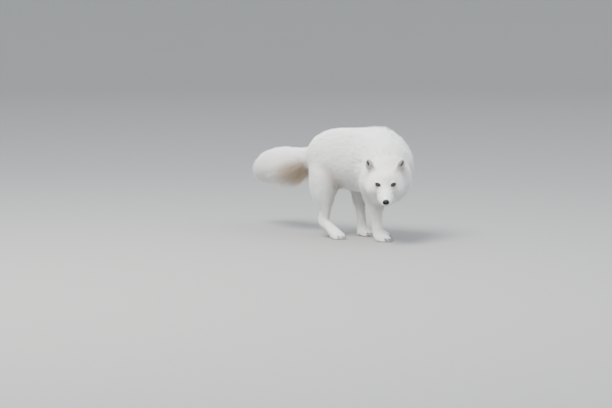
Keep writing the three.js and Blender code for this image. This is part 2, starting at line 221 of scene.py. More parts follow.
def soup(names):
    """Vertices, triangles and each triangle's node for all these solids."""
    verts, faces, owner, base = [], [], [], 0
    for i, name in enumerate(names):
        bm = bmesh.new()
        bm.from_mesh(frame["nodes"][name].data)
        bmesh.ops.remove_doubles(bm, verts=bm.verts, dist=1e-6)
        bmesh.ops.triangulate(bm, faces=bm.faces)
        bm.verts.index_update()
        verts.append(np.array([v.co for v in bm.verts]))
        faces.append(np.array([[v.index for v in f.verts] for f in bm.faces]) + base)
        owner.append(np.full(len(bm.faces), i))
        base += len(bm.verts)
        bm.free()
    return np.concatenate(verts), np.concatenate(faces), np.concatenate(owner)


def remeshed(verts, faces, voxel):
    """One closed surface round all that the triangles enclose, as a new mesh."""
    ob = mesh_object("soup", verts, faces)
    mod = ob.modifiers.new("remesh", "REMESH")
    mod.mode = "VOXEL"
    mod.voxel_size = voxel
    made = bpy.data.meshes.new_from_object(ob.evaluated_get(bpy.context.evaluated_depsgraph_get()))
    bpy.data.objects.remove(ob)
    return made


def refine(me, spots):
    """Halves the edges near each spot, once per radius, and returns the largest island in triangles."""
    bm = bmesh.new()
    bm.from_mesh(me)
    for radii in zip(*[s[1] for s in spots]):
        near = set()
        for (centre, _), radius in zip(spots, radii):
            c = Vector(centre)
            near.update(f for f in bm.faces if (f.calc_center_median() - c).length < radius)
        edges = {e for f in near for e in f.edges}
        bmesh.ops.subdivide_edges(bm, edges=list(edges), cuts=1, use_grid_fill=True)
    bmesh.ops.triangulate(bm, faces=bm.faces)
    seen, best = set(), []
    for v in bm.verts:
        if v in seen:
            continue
        stack, island = [v], [v]
        seen.add(v)
        while stack:
            for e in stack.pop().link_edges:
                for w in e.verts:
                    if w not in seen:
                        seen.add(w)
                        stack.append(w)
                        island.append(w)
        if len(island) > len(best):
            best = island
    keep = set(best)
    bmesh.ops.delete(bm, geom=[v for v in bm.verts if v not in keep], context="VERTS")
    out = bpy.data.meshes.new("skin")
    bm.to_mesh(out)
    bm.free()
    return out


soup_v, soup_f, soup_owner = soup(FLESH)
full_v, full_f, _ = soup(FLESH + ["eye_left", "eye_right"])  # so that the skin runs on over the eyeballs
rough = remeshed(full_v + vertex_normals(full_v, full_f) * SWELL, full_f, SKIN_VOXEL)


def box_centre(node):
    lo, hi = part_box(node)
    return np.array((lo + hi) / 2)


EYES = {sign: box_centre("eye_" + side) for sign, side in SIDES.items()}
EYE_R = 9.2 * MM
MUZZLE = on_head(88, 0, -22)
EYE_RADII, MUZZLE_RADII, FOOT_RADII = (0.026, 0.018, 0.0125), (0.032, 0.024, 0.0), (0.028, 0.0, 0.0)
spots = [(EYES[1], EYE_RADII), (EYES[-1], EYE_RADII), (MUZZLE, MUZZLE_RADII)]
spots += [(foot_place(name, 16, 0, 12), FOOT_RADII) for name in FEET]
skin_me = refine(rough, spots)
v, f = arrays(skin_me)
web = Web(f, len(v))

# Which solid each skin vertex belongs to.
tree = BVHTree.FromPolygons([Vector(p) for p in soup_v], [tuple(t) for t in soup_f.tolist()])
owner = np.array([soup_owner[tree.find_nearest(Vector(p))[2]] for p in v])
part = np.array(FLESH)[owner]


def is_part(word):
    """Whether each skin vertex belongs to a solid with this word in its name."""
    return np.char.find(part, word) >= 0


IN_TRUNK, IN_NECK, IN_HEAD, IN_TAIL = is_part("trunk"), is_part("neck"), is_part("head"), is_part("tail")
IN_EAR, IN_LEG, IN_FOOT = is_part("ear"), is_part("_leg_"), is_part("_foot_")

# The facets are smoothed away: much on the body, little on the small forms of face, ears and feet.
# hf, hl and hu are millimetres forward, left and up of the middle of the skull.
fine = np.where(IN_FOOT, 0.75, 0.0) + np.where(IN_EAR, 0.9, 0.0)
hf, hl, hu = head_coords(v)
fine = np.maximum(fine, np.where(IN_HEAD, 0.6 * smoothstep(25, 60, hf), 0))
fine = np.clip(web.smooth(fine, 12), 0, 1)
v = web.fair(v, 70, fine)
v = web.fair(v, 3, np.zeros(len(v)))

# ---------------------------------------------------------------- how deep the coat is, in millimetres
hf, hl, hu = head_coords(v)
tail_root = here(-100, 2, 237)
tail_tip = here(-398, 105, 180)
tail_way = unit(tail_tip - tail_root)
along_tail = np.clip((v - tail_root) @ tail_way / np.linalg.norm(tail_tip - tail_root), 0, 1)
z = v[:, 2] / MM

face = smoothstep(-8, 34, hf + 0.12 * hu) * IN_HEAD  # 1 on the short-haired face, 0 on the ruff

depth = np.zeros(len(v))
depth[IN_TRUNK] = 12
depth[IN_NECK] = 14
depth[IN_HEAD] = mix(mix(12, 8, smoothstep(5, -20, hf)), 3.4, face)[IN_HEAD]
depth[IN_EAR] = 1.0
depth[IN_TAIL] = mix(9, 17, smoothstep(0.02, 0.4, along_tail))[IN_TAIL]
depth[IN_TAIL] *= mix(1, 0.55, smoothstep(0.86, 1, along_tail))[IN_TAIL]
depth[IN_LEG] = mix(4.2, 9, smoothstep(85, 165, z))[IN_LEG]
depth[IN_FOOT] = mix(2.2, 4.0, smoothstep(15, 60, z))[IN_FOOT]
depth = web.smooth(depth, 30)
NOSE_DEPTH, LID_DEPTH = 0.15, 2.4
nose_near = smoothstep(24, 9, np.linalg.norm(v - on_head(104, 0, -18), axis=1) / MM)
depth = depth * (1 - nose_near) + NOSE_DEPTH * nose_near
eye_near = np.max([smoothstep(22, 9, np.linalg.norm(v - c, axis=1) / MM) for c in EYES.values()], axis=0)
depth = mix(depth, np.minimum(depth, LID_DEPTH), eye_near)
sole = smoothstep(9, 2.5, z) * (IN_FOOT | IN_LEG)
depth = depth * (1 - sole)
depth = web.smooth(depth, 3)

# Before the inset the forehead, the cheeks and the muzzle's sides are filled out and the bridge lowered.
cheeks = sum(mound(hf, hl, hu, (30, sign * 34, -20), (22, 17, 22)) for sign in SIDES)
muzzle_sides = np.exp(-(((hf - 66) / 24) ** 2 + ((hu + 18) / 20) ** 2)) * np.clip(hl / 14, -1, 1)
forehead = mound(hf, hl, hu, (30, 0, 26), (17, 26, 17))
bridge = mound(hf, hl, hu, (60, 0, 2), (15, 13, 14))
fill = UP * (4.0 * forehead - 3.5 * bridge)[:, None] + FORWARD * (2.5 * forehead)[:, None]
v = v + fill * IN_HEAD[:, None] * MM
v = v + (FORWARD * (8.0 * cheeks * IN_HEAD)[:, None] + LEFT * (4.5 * muzzle_sides * IN_HEAD)[:, None]) * MM
outline_v = v.copy()  # the surface that the coat's tips reach
INSET_STEPS = 8
for _ in range(INSET_STEPS):
    n = vertex_normals(v, f)
    n = unit(web.smooth(n, 3))
    v = v - n * (depth / INSET_STEPS)[:, None] * MM
    v = web.smooth(v, 1, 0.25, keep=np.clip(fine + 0.2, 0, 1))
v[:, 2] = np.maximum(v[:, 2], 0.0)

# ---------------------------------------------------------------- the face in the skin
EYE_OUT, EYE_LIFT, EYE_SLANT = math.radians(15), math.radians(22), math.radians(24)
# The opening's reach from its middle, in radians of the eyeball. Within it the skin lies LID_INSIDE below
# the ball's surface, and the lids' rims stand LID_OUTSIDE over it.
LID_WIDE, LID_UPPER, LID_LOWER = 0.98, 0.52, 0.42
LID_INSIDE, LID_OUTSIDE = 1.8 * MM, 0.95 * MM


def eye_axes(sign):
    """The way an eye's opening faces, the way to its outer corner, and the way up across it."""
    ahead = FORWARD * math.cos(EYE_OUT) + sign * LEFT * math.sin(EYE_OUT)
    look = unit(ahead * math.cos(EYE_LIFT) + UP * math.sin(EYE_LIFT))
    out = unit(sign * LEFT - look * (sign * LEFT @ look))
    up = np.cross(look, out) * sign
    c, s = math.cos(EYE_SLANT), math.sin(EYE_SLANT)
    return look, out * c + up * s, up * c - out * s


def lid_margin(u, look, out, up):
    """How far outside the lids' almond opening each direction from the eye's centre lies, in radians."""
    x, y = np.arctan2(u @ out, u @ look), np.arcsin(np.clip(u @ up, -1, 1))
    shape = np.clip(1 - (x / LID_WIDE) ** 2, 0, 1) ** 0.75
    rim = np.where(y > 0, LID_UPPER, LID_LOWER) * shape
    return np.where(np.abs(x) < LID_WIDE, np.abs(y) - rim, np.hypot(np.abs(x) - LID_WIDE, y))


lid = np.full(len(v), 9.0)  # in millimetres from the lid's edge, negative inside the opening
for sign, centre in EYES.items():
    rel = v - centre
    reach = np.linalg.norm(rel, axis=1)
    look, out, up = eye_axes(sign)
    near = (reach < EYE_RADII[0]) & (rel @ look > -0.002)
    margin = lid_margin(unit(rel[near]), look, out, up)
    shell = mix(EYE_R - LID_INSIDE, EYE_R + LID_OUTSIDE, smoothstep(-0.03, 0.05, margin))
    natural = np.maximum(reach[near], EYE_R + 0.3 * MM)
    far = smoothstep(EYE_R + 1.5 * MM, EYE_R + 6 * MM, reach[near])
    r = mix(shell, natural, np.maximum(smoothstep(0.10, 0.60, margin), far))
    v[near] = centre + unit(rel[near]) * r[:, None]
    beyond = np.maximum(reach[near] - EYE_R - 2.0 * MM, 0) / MM
    gap = np.hypot(margin * EYE_R / MM, 1.5 * beyond) * np.sign(margin + 1e-9)
    lid[near] = np.minimum(lid[near], gap)

# The toes: grooves between them run back over each paw.
n = vertex_normals(v, f)
toes = np.zeros(len(v))
GROOVE_DEPTH, GROOVE_WIDTH = 3.2, 1.9
for name, (ball, _, width, _) in FEET.items():
    ahead, aside = foot_axes(name)
    rel = (v - here(*ball, 0)) / MM
    mine = is_part(name.replace("_", "_foot_"))
    x, y, height = rel @ ahead, rel @ aside, rel[:, 2]
    toe_gap = width * 0.478
    groove = sum(np.exp(-(((y - k * toe_gap) / GROOVE_WIDTH) ** 2)) for k in (-1, 0, 1))
    where = mine * smoothstep(4, 16, x) * smoothstep(30, 17, height) * smoothstep(0.5, 3, height)
    v = v - n * (GROOVE_DEPTH * groove * where)[:, None] * MM
    toes = np.maximum(toes, mine * smoothstep(10, 24, x) * smoothstep(24, 14, height))

# The mouth: a fine crease from under the nose, down and back along the muzzle.
MOUTH = [
    (106, 0, -23.5), (104, 0, -26.5), (101, 4.5, -28.5), (94, 9, -30),
    (84, 13, -31), (72, 16, -31.5), (60, 19, -30), (50, 22, -27.5),
]
CREASE_DEPTH, CREASE_WIDTH = 1.5 * MM, 1.1 * MM


def near_line(p, places):
    """The distance from each point to a line of places, and how far along it the nearest place is."""
    best, where = np.full(len(p), 1e9), np.zeros(len(p))
    for i in range(len(places) - 1):
        a, b = places[i], places[i + 1]
        ab = b - a
        t = np.clip((p - a) @ ab / (ab @ ab), 0, 1)
        d = np.linalg.norm(p - a - t[:, None] * ab, axis=1)
        where = np.where(d < best, (i + t) / (len(places) - 1), where)
        best = np.minimum(best, d)
    return best, where


surface = BVHTree.FromPolygons([Vector(p) for p in v], [tuple(t) for t in f.tolist()])


def laid(p):
    """The point of the skin nearest to p."""
    return np.array(surface.find_nearest(Vector(p))[0])


mouth_d = np.full(len(v), 1.0)
for sign in SIDES:
    line = [laid(on_head(a, sign * b, c)) for a, b, c in MOUTH]
    d, _ = near_line(v, line)
    mouth_d = np.minimum(mouth_d, d)
n = vertex_normals(v, f)
v = v - n * (CREASE_DEPTH * np.exp(-((mouth_d / CREASE_WIDTH) ** 2)))[:, None]

skin_v, skin_n = v, unit(web.smooth(vertex_normals(v, f), 6))

# ---------------------------------------------------------------- colours, shared by skin and coat
WHITE = np.array([0.93, 0.925, 0.91])
CREAM = np.array([0.93, 0.89, 0.80])
GREY = np.array([0.05, 0.048, 0.046])
DARK = np.array([0.022, 0.018, 0.016])
# The colour of the painted shadow in each ear's cup.
EAR_SHADE = np.array([0.10, 0.085, 0.075])
EAR_TAN = np.array([0.74, 0.64, 0.56])
# The tan of the painted shade on the fur that faces down, under the belly and the tail's root.
UNDER_SHADE = np.array([0.52, 0.37, 0.22])
EAR_LEAN, EAR_TURN, EAR_TIP = 10, 22, 2
# The painted shadow in the ear's cup runs along these places: millimetres outward and along the ear.
EAR_STROKE = [(5, 52), (4, 40), (-1, 27), (-7, 16), (-9, 10)]


def ear_frame(sign):
    """The ear's root and its own axes, forward, left and along it, in the row frame."""
    lean = Matrix.Rotation(math.radians(-sign * EAR_LEAN), 3, "X")
    turn = Matrix.Rotation(math.radians(sign * EAR_TURN), 3, "Z")
    own = np.array(lean @ Matrix.Rotation(math.radians(EAR_TIP), 3, "Y") @ turn)
    return on_head(-3, sign * 40, 6), np.stack([FORWARD, LEFT, UP], 1) @ own


def ear_coords(p, sign):
    """Forward (out of the cup), outward and along the ear, in millimetres."""
    root, axes = ear_frame(sign)
    q = (p - root) / MM @ axes
    return q[:, 0], q[:, 1] * sign, q[:, 2]


def colours(p, normal):
    """The coat's colour at each skin vertex, with painted shade on the fur that faces down under the belly
    and the tail's root.
    """
    ahead, aside, high = head_coords(p)
    c = np.tile(WHITE, (len(p), 1))
    crown = smoothstep(2, 30, high) * smoothstep(70, 30, ahead) * smoothstep(48, 25, np.abs(aside)) * IN_HEAD
    c = mix(c, CREAM, 0.45 * crown[:, None])
    # Painted shade: fur that faces down, under the tail's root and the belly, is darkened towards a tan.
    under = smoothstep(0.05, -0.75, normal[:, 2])
    to_root = 0.30 * smoothstep(0.60, 0.20, along_tail) + 0.70 * smoothstep(0.30, 0.14, along_tail)
    tail_under_shade = smoothstep(0.35, -0.35, normal[:, 2]) * to_root * IN_TAIL
    belly_shade = under * IN_TRUNK * smoothstep(-0.02, -0.05, p[:, 0] - SHIFT[0] - 0.1)
    shaded_under = web.smooth(np.maximum(0.95 * tail_under_shade, 0.45 * belly_shade), 10)
    shaded_under *= 0.8 + 0.2 * waves(p, 0.02, 3)
    c = mix(c, UNDER_SHADE, np.clip(shaded_under, 0, 1)[:, None])
    beside = mound(ahead, np.abs(aside), high, (55, 19, -8), (24, 11, 22)) * IN_HEAD
    speckled = np.maximum(beside, 0.4 * smoothstep(60, 85, ahead) * IN_HEAD)
    speckle = smoothstep(0.1, 0.8, waves(p, 0.0065, 5, 12)) * speckled
    c = mix(c, GREY, 0.7 * speckle[:, None])
    tint = waves(p, 0.09, 9) * 0.010
    return np.clip(c + tint[:, None], 0, 1)


skin_c = colours(skin_v, skin_n)
rim = smoothstep(2.5, 1.5, lid)
skin_c = mix(skin_c, DARK, rim[:, None])
tear = np.zeros(len(v))
for sign, centre in EYES.items():
    look, out, up = eye_axes(sign)
    corner = centre + (look * 0.60 - out * 0.98 - up * 0.22) * EYE_R
    tear = np.maximum(tear, smoothstep(4.6, 2.6, np.linalg.norm(v - corner, axis=1) / MM))
skin_c = mix(skin_c, DARK, tear[:, None])
skin_c = mix(skin_c, DARK * 2, (0.9 * smoothstep(1.3, 0.5, mouth_d / MM))[:, None])
ear_inner, ear_shade, ear_fringe = np.zeros((3, len(v)))
for sign in SIDES:
    e_f, e_o, e_u = ear_coords(outline_v, sign)
    facing = skin_n @ ear_frame(sign)[1][:, 0]
    mine = IN_EAR & (np.sign(hl) == sign)
    inner = mine * smoothstep(0.05, 0.45, facing) * smoothstep(64, 52, e_u)
    stroke, along_stroke = near_line(np.stack([e_o, e_u], 1), [np.array(q) for q in EAR_STROKE])
    width = mix(3.4, 6.5, along_stroke)
    ear_inner = np.maximum(ear_inner, inner)
    # The painted shadow is darkest on the line through the ear's cup.
    ear_shade = np.maximum(ear_shade, inner * np.exp(-((stroke / width) ** 2)))
    fringe = np.exp(-(((e_o - 14) / 9) ** 2 + ((e_u - 12) / 16) ** 2)) * smoothstep(-8, 2, e_f)
    ear_fringe = np.maximum(ear_fringe, fringe * (np.sign(hl) == sign) * (IN_EAR | IN_HEAD))
ear_inner = web.smooth(ear_inner, 2)
skin_c = mix(skin_c, EAR_TAN, 0.45 * smoothstep(0.05, 0.6, ear_inner)[:, None])
# Painted shadow: a dark line down the inside of each ear's cup.
skin_c = mix(skin_c, EAR_SHADE, smoothstep(0.25, 0.8, ear_shade)[:, None])
skin_c = mix(skin_c, EAR_TAN, 0.55 * ear_fringe[:, None])

# ---------------------------------------------------------------- the lie of the coat
flow = np.zeros((len(v), 3))
flow[IN_TRUNK] = unit([-1, 0, -0.30])
upper = smoothstep(-0.35, 0.45, skin_n[:, 2])[:, None]
flow[IN_NECK] = mix(unit([-0.35, 0.15, -0.92]), unit([-0.80, 0.55, 0.10]), upper)[IN_NECK]
from_nose = unit(skin_v - on_head(112, 0, -10))
spread = unit(hl[:, None] * LEFT + (hu + 30)[:, None] * UP)  # outward from the head's own axis
ruff = smoothstep(8, -22, hf)[:, None]
flow[IN_HEAD] = mix(from_nose, spread - 0.35 * FORWARD, ruff)[IN_HEAD]
for sign in SIDES:
    mine = IN_EAR & (np.sign(hl) == sign)
    flow[mine] = ear_frame(sign)[1][:, 2]
flow[IN_TAIL] = tail_way
down = np.array([-0.12, 0, -1.0])
flow[IN_LEG] = mix(down, np.array([-0.45, 0, -0.9]), smoothstep(90, 170, z)[:, None])[IN_LEG]
for name in FEET:
    mine = is_part(name.replace("_", "_foot_"))
    ahead = foot_axes(name)[0] + [0, 0, -0.35]
    shank = ahead * [1, 1, 1.6] if name == "hind_right" else down
    flow[mine] = mix(ahead, shank, smoothstep(14, 34, z)[:, None])[mine]


def tangent(x, n):
    """x laid flat on the surface with normal n."""
    return unit(x - (x * n).sum(1, keepdims=True) * n)


flow = tangent(flow, skin_n)
hold = web.smooth(np.where(IN_EAR, 0.95, np.where(IN_HEAD | IN_FOOT, 0.6, 0.0)), 10)
FLOW_STEPS = 110
for _ in range(FLOW_STEPS):
    flow = tangent(web.smooth(flow, 1, 0.8, keep=hold), skin_n)

# ---------------------------------------------------------------- the coat: tufts of solid mesh
kd = KDTree(len(skin_v))
for i, p in enumerate(skin_v):
    kd.insert(p, i)
kd.balance()


def nearest(p):
    """The number of the skin vertex nearest to each point."""
    return np.array([kd.find(q)[1] for q in p])


def raised(p, height):
    """Points moved along the skin's normal until they are height above it, and the normals there."""
    near = nearest(p)
    nn = skin_n[near]
    now = ((p - skin_v[near]) * nn).sum(1)
    return p + nn * (height * MM - now)[:, None], nn


length = np.zeros(len(v))  # of the tufts, in millimetres
length[IN_TRUNK] = 30
length[IN_NECK] = 36
length[IN_HEAD] = mix(30, 8, face)[IN_HEAD]
length[IN_EAR] = 8
length[IN_TAIL] = mix(26, 38, smoothstep(0.0, 0.35, along_tail))[IN_TAIL]
length[IN_TAIL] *= mix(1, 0.75, smoothstep(0.8, 1, along_tail))[IN_TAIL]
length[IN_LEG] = mix(12, 24, smoothstep(85, 165, z))[IN_LEG]
length[IN_FOOT] = (11 + 5 * toes)[IN_FOOT]
length = web.smooth(length, 20)
nose_gap = np.linalg.norm(v - on_head(103, 0, -17), axis=1) / MM
bare_lid = smoothstep(1.9, 0.9, lid)
bare_nose = smoothstep(14, 9.5, nose_gap)
bare_mouth = smoothstep(0.9, 0.5, mouth_d / MM)
bald = np.max([bare_lid, bare_nose, bare_mouth, 0.9 * tear], axis=0)
EAR_FRONT_LENGTH, FACE_LENGTH = 8, 3.6
for sign in SIDES:
    gap = np.linalg.norm(v - (ear_frame(sign)[0] + FORWARD * 12 * MM), axis=1) / MM
    length = mix(length, np.minimum(length, EAR_FRONT_LENGTH), smoothstep(26, 12, gap))
length = mix(length, np.minimum(length, FACE_LENGTH), smoothstep(9, 2, lid))
length = mix(length, np.minimum(length, FACE_LENGTH), smoothstep(30, 12, nose_gap))

skin_cross = face_cross(skin_v, f)
area = np.linalg.norm(skin_cross, axis=1) / 2

# Long fur hangs under the root of the tail.
SKIRT_LENGTH = 24
skirt = smoothstep(0.25, -0.45, skin_n[:, 2]) * smoothstep(0.46, 0.26, along_tail)
skirt = skirt * smoothstep(0.0, 0.07, along_tail)
skirt = web.smooth(skirt * IN_TAIL, 8)
pile = depth + SKIRT_LENGTH * skirt + 2.0 * toes  # how high the coat stands over the skin
length = length + SKIRT_LENGTH * skirt

# The mane and the ruff's edge stand out in locks; elsewhere the coat lies close and even.
mane = web.smooth(IN_NECK * smoothstep(-0.5, 0.2, skin_n[:, 2]) + IN_HEAD * smoothstep(10, -20, hf), 70)
nape = smoothstep(135, 185, (v[:, 0] - SHIFT[0]) / MM)
standing = 1 + mane * web.smooth(np.where(IN_HEAD, 0.10, 0.25 + 0.55 * nape), 12)
locky = mix(0.45, 1.1, mane)


class Tufts:
    """Tufts of one kind: their roots on the skin, the way each lies, and the stations along each.

    reach scales their length and rise their height over the skin, proud is millimetres more of that height,
    gather is how far tips draw together, and slim is the most half width in millimetres."""

    STATIONS = {1: (1.0,), 2: (0.5, 1.0), 3: (0.33, 0.68, 1.0)}  # where the rings and the tip lie, by rings
    WIDTHS = {1: (1.0,), 2: (0.9, 0.85), 3: (0.85, 1.0, 0.62)}  # of each ring, as a share of the half width
    FLOOR_GAP = 0.6 * MM
    LOCK = 14  # tufts to a lock

    def __init__(self, count, density, reach, rise, rings, seed, gather, proud, slim):
        r = np.random.default_rng(seed)
        weight = np.cumsum(area * density[f].mean(1))
        self.tri = np.minimum(np.searchsorted(weight / weight[-1], np.sort(r.random(count))), len(f) - 1)
        bary = r.random((count, 2))
        over = bary.sum(1) > 1
        bary[over] = 1 - bary[over]
        self.bary = np.concatenate([1 - bary.sum(1, keepdims=True), bary], 1)
        self.count, self.rings = count, rings
        root, normal = self.at(skin_v), unit(self.at(skin_n))
        lie = tangent(self.at(flow), normal)
        swirl = 0.13 * waves(root, 0.050, 21) + 0.08 * waves(root, 0.016, 22) + r.normal(0, 0.12, count)
        lie = lie * np.cos(swirl)[:, None] + np.cross(normal, lie) * np.sin(swirl)[:, None]
        self.root, self.normal, self.across = root, normal, np.cross(normal, lie)
        stand = self.at(standing) if rings == 3 else 1.0
        vary = (1 + 0.10 * waves(root, 0.03, 23) + r.normal(0, 0.12, count)).clip(0.55, 1.4)
        self.long = self.at(length) * reach * vary
        lift = (rise + 0.08 * waves(root, 0.018, 24) + r.normal(0, 0.13, count)).clip(0.3, rise + 0.22)
        lift = lift * stand
        high = np.minimum(self.at(pile) * lift + proud, 0.8 * self.long)
        advance = np.sqrt(self.long ** 2 - high ** 2)

        def station(s):
            h = high * (1 - (1 - s) ** 1.9)
            return raised(root + (lie * (advance * s)[:, None] + normal * h[:, None]) * MM, h)

        self.lines, self.normals = [root - normal * 0.5 * MM], [normal]
        for s in self.STATIONS[rings]:
            p, nn = station(s)
            self.lines.append(p)
            self.normals.append(nn)
        self.clump(gather)
        for line in self.lines[1:]:
            line[:, 2] = np.maximum(line[:, 2], self.FLOOR_GAP)
        self.half = np.clip(0.09 + 0.0105 * self.long, 0.13, slim) * r.uniform(0.75, 1.25, count) * MM
        self.colour = self.at(skin_c)

    def at(self, x):
        """What the skin's vertices carry, at each tuft's root."""
        got = x[f[self.tri]]
        return (got * (self.bary[:, :, None] if got.ndim == 3 else self.bary)).sum(1)

    def clump(self, gather):
        """Tips of neighbours gather into locks."""
        middle = self.root[::self.LOCK]
        near_lock = KDTree(len(middle))
        for i, p in enumerate(middle):
            near_lock.insert(p, i)
        near_lock.balance()
        mine = np.array([near_lock.find(p)[1] for p in self.root])
        away = middle[mine] - self.root
        share = gather * (self.at(locky) if self.rings == 3 else 1.0)
        share = share * smoothstep(0.014, 0.006, np.linalg.norm(away, axis=1))
        tip = (self.lines[-1] - self.root)[::self.LOCK][mine]
        pull = tip - (self.lines[-1] - self.root) + 0.8 * away
        for k in range(1, len(self.lines)):
            self.lines[k] = self.lines[k] + pull * (share * (k / self.rings) ** 1.3)[:, None]

    def build(self, pick):
        """Vertices, triangles and shading normals of the picked tufts, and how many vertices each has.

        A tuft is a three-sided blade that ends in a point. A face that looks out of the coat is shaded
        nearly as the coat's own surface is."""
        rings = self.rings
        lines = [line[pick] for line in self.lines]
        widths = self.WIDTHS[rings]
        out, normals = [], []
        for k in range(rings):
            ahead = unit(lines[k + 1] - lines[max(k - 1, 0)])
            side = unit(self.across[pick] - (self.across[pick] * ahead).sum(1, keepdims=True) * ahead)
            over = np.cross(ahead, side)
            for turn in (90, 210, 330):
                c, s = math.cos(math.radians(turn)), math.sin(math.radians(turn))
                w = self.half[pick][:, None] * widths[k]
                out.append(lines[k] + side * c * w + over * s * w * 0.6)
                normals.append(self.normals[k][pick])
        out.append(lines[rings])
        normals.append(self.normals[rings][pick])
        verts = np.stack(out, 1)
        tri = [(0, 2, 1)]
        for k in range(rings - 1):
            for j in range(3):
                a, c = 3 * k + j, 3 * k + (j + 1) % 3
                tri += [(a, c + 3, a + 3), (a, c, c + 3)]
        top = 3 * (rings - 1)
        tri += [(top + j, top + (j + 1) % 3, 3 * rings) for j in range(3)]
        per = 3 * rings + 1
        faces = (np.array(tri)[None] + (np.arange(len(verts)) * per)[:, None, None]).reshape(-1, 3)
        verts, normals = verts.reshape(-1, 3), np.stack(normals, 1).reshape(-1, 3)
        own = unit(face_cross(verts, faces))
        coat = unit(normals[faces].sum(1))
        upward = smoothstep(0.0, 0.35, (own * coat).sum(1))[:, None]
        return verts, faces, unit(0.35 * own + coat * upward), per


fineness = np.clip(length / 30, 0.16, 1.0)  # short fur has smaller tufts, set closer
density = (1 - bald) / fineness ** 0.65
density *= np.where(z < 1.5, 0.1, 1.0)
density *= mix(1, 0.6, smoothstep(0.3, 0.8, ear_inner))
density *= web.smooth(np.where(IN_NECK, 1.5, np.where(IN_LEG | IN_FOOT, 0.8, 1.0)), 10)
longer = density * smoothstep(11, 20, length)
UNDER = Tufts(225000, density, reach=0.92, rise=0.80, rings=1, seed=31, gather=0.12, proud=0.3, slim=0.42)
GUARD = Tufts(36000, longer, reach=1.35, rise=0.98, rings=3, seed=32, gather=0.42, proud=1.0, slim=0.36)

# ---------------------------------------------------------------- the map: one cell per solid and side
CELLS = 10  # in each row
CELL_MARGIN = 0.04
part_points = [soup_v[soup_f[soup_owner == i]].reshape(-1, 3) for i in range(len(FLESH))]
part_low = np.array([p.min(0) for p in part_points])
part_high = np.array([p.max(0) for p in part_points])


def unwrapped(p, part_index, facing):
    """Each point's place on the map: it is laid flat along the axis that its patch faces most."""
    axis = np.abs(facing).argmax(1)
    sign = np.take_along_axis(facing, axis[:, None], 1)[:, 0] > 0
    cell = part_index * 6 + axis * 2 + sign
    span = (part_high - part_low).max(1)[part_index]
    q = (p - part_low[part_index]) / span[:, None]
    uv = np.stack([np.where(axis == 0, q[:, 1], q[:, 0]), np.where(axis == 2, q[:, 1], q[:, 2])], 1)
    uv = np.clip(uv, 0, 1) * (1 - 2 * CELL_MARGIN) + CELL_MARGIN
    return (uv + np.stack([cell % CELLS, cell // CELLS], 1)) / CELLS


def add_uv(me, uv):
    """The map's places, one for each corner of each face."""
    layer = me.uv_layers.new(name="OFBake", do_init=False)
    layer.uv.foreach_set("vector", uv.astype(np.float32).ravel())


def add_colour(me, rgb):
    """The markings, one colour for each vertex."""
    layer = me.color_attributes.new(name="Coat", type="FLOAT_COLOR", domain="POINT")
    rgba = np.concatenate([rgb, np.ones((len(rgb), 1))], 1)
    layer.data.foreach_set("color", rgba.astype(np.float32).ravel())


# ---------------------------------------------------------------- materials
def node_material(name, settings):
    """A material, its node tree and its shader, with these values on the shader's own sockets."""
    m = bpy.data.materials.new(name)
    m.use_nodes = True
    nt = m.node_tree
    bsdf = nt.nodes["Principled BSDF"]
    for socket, value in settings.items():
        bsdf.inputs[socket].default_value = value
    return m, nt, bsdf


def noise_bump(nt, bsdf, scale, strength, distance):
    """A fine grain in the surface."""
    coord = nt.nodes.new("ShaderNodeTexCoord")
    noise = nt.nodes.new("ShaderNodeTexNoise")
    noise.inputs["Scale"].default_value = scale
    noise.inputs["Detail"].default_value = 3
    bump = nt.nodes.new("ShaderNodeBump")
    bump.inputs["Strength"].default_value = strength
    bump.inputs["Distance"].default_value = distance
    nt.links.new(coord.outputs["Object"], noise.inputs["Vector"])
    nt.links.new(noise.outputs["Fac"], bump.inputs["Height"])
    nt.links.new(bump.outputs[0], bsdf.inputs["Normal"])


def marked_material(name, settings):
    """A material that takes its colour from the markings on the vertices."""
    m, nt, bsdf = node_material(name, settings)
    tint = nt.nodes.new("ShaderNodeVertexColor")
    tint.layer_name = "Coat"
    nt.links.new(tint.outputs["Color"], bsdf.inputs["Base Color"])
    return m, nt, bsdf


MATT = {"Roughness": 0.82, "Specular IOR Level": 0.25}
SKIN_MAT, nt, bsdf = marked_material("skin", MATT)
noise_bump(nt, bsdf, scale=900, strength=0.5, distance=0.0006)
COAT_MAT, _, _ = marked_material("coat", MATT)

skin = mesh_object("skin", skin_v, f)
add_colour(skin.data, skin_c)
face_n = unit(skin_cross)
face_owner = owner[f[:, 0]]
loops_uv = unwrapped(skin_v[f].reshape(-1, 3), np.repeat(face_owner, 3), np.repeat(face_n, 3, 0))
add_uv(skin.data, loops_uv)
skin.data.materials.append(SKIN_MAT)
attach(skin, "root")
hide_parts(*FLESH)

groups = {
    "head": IN_HEAD, "ears": IN_EAR, "neck": IN_NECK, "trunk": IN_TRUNK,
    "tail": IN_TAIL, "legs": IN_LEG, "feet": IN_FOOT,
}
MOST_TRIANGLES = 190000  # in one piece
TUFT_PATCH = 0.003  # the width of a tuft's patch of the map
for kind, tufts in (("under", UNDER), ("guard", GUARD)):
    home = f[tufts.tri, 0]
    root_uv = unwrapped(tufts.root, owner[home], tufts.normal)
    step = MOST_TRIANGLES // (6 * tufts.rings - 2)
    for group, member in groups.items():
        picked = np.flatnonzero(member[home])
        for start in range(0, len(picked), step):
            pick = picked[start:start + step]
            verts, faces, normals, per = tufts.build(pick)
            ob = mesh_object(f"coat_{group}_{kind}_{start // step}", verts, faces)
            ob.data.normals_split_custom_set(np.repeat(normals, 3, 0).astype(np.float32))
            add_colour(ob.data, np.repeat(tufts.colour[pick], per, 0))
            s = np.tile(np.linspace(0, 1, per), len(pick))
            patch = np.repeat(root_uv[pick], per, 0) + np.stack([(s * 7 % 1) * TUFT_PATCH, s * TUFT_PATCH], 1)
            add_uv(ob.data, patch[faces.ravel()])
            ob.data.materials.append(COAT_MAT)
            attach(ob, "root")

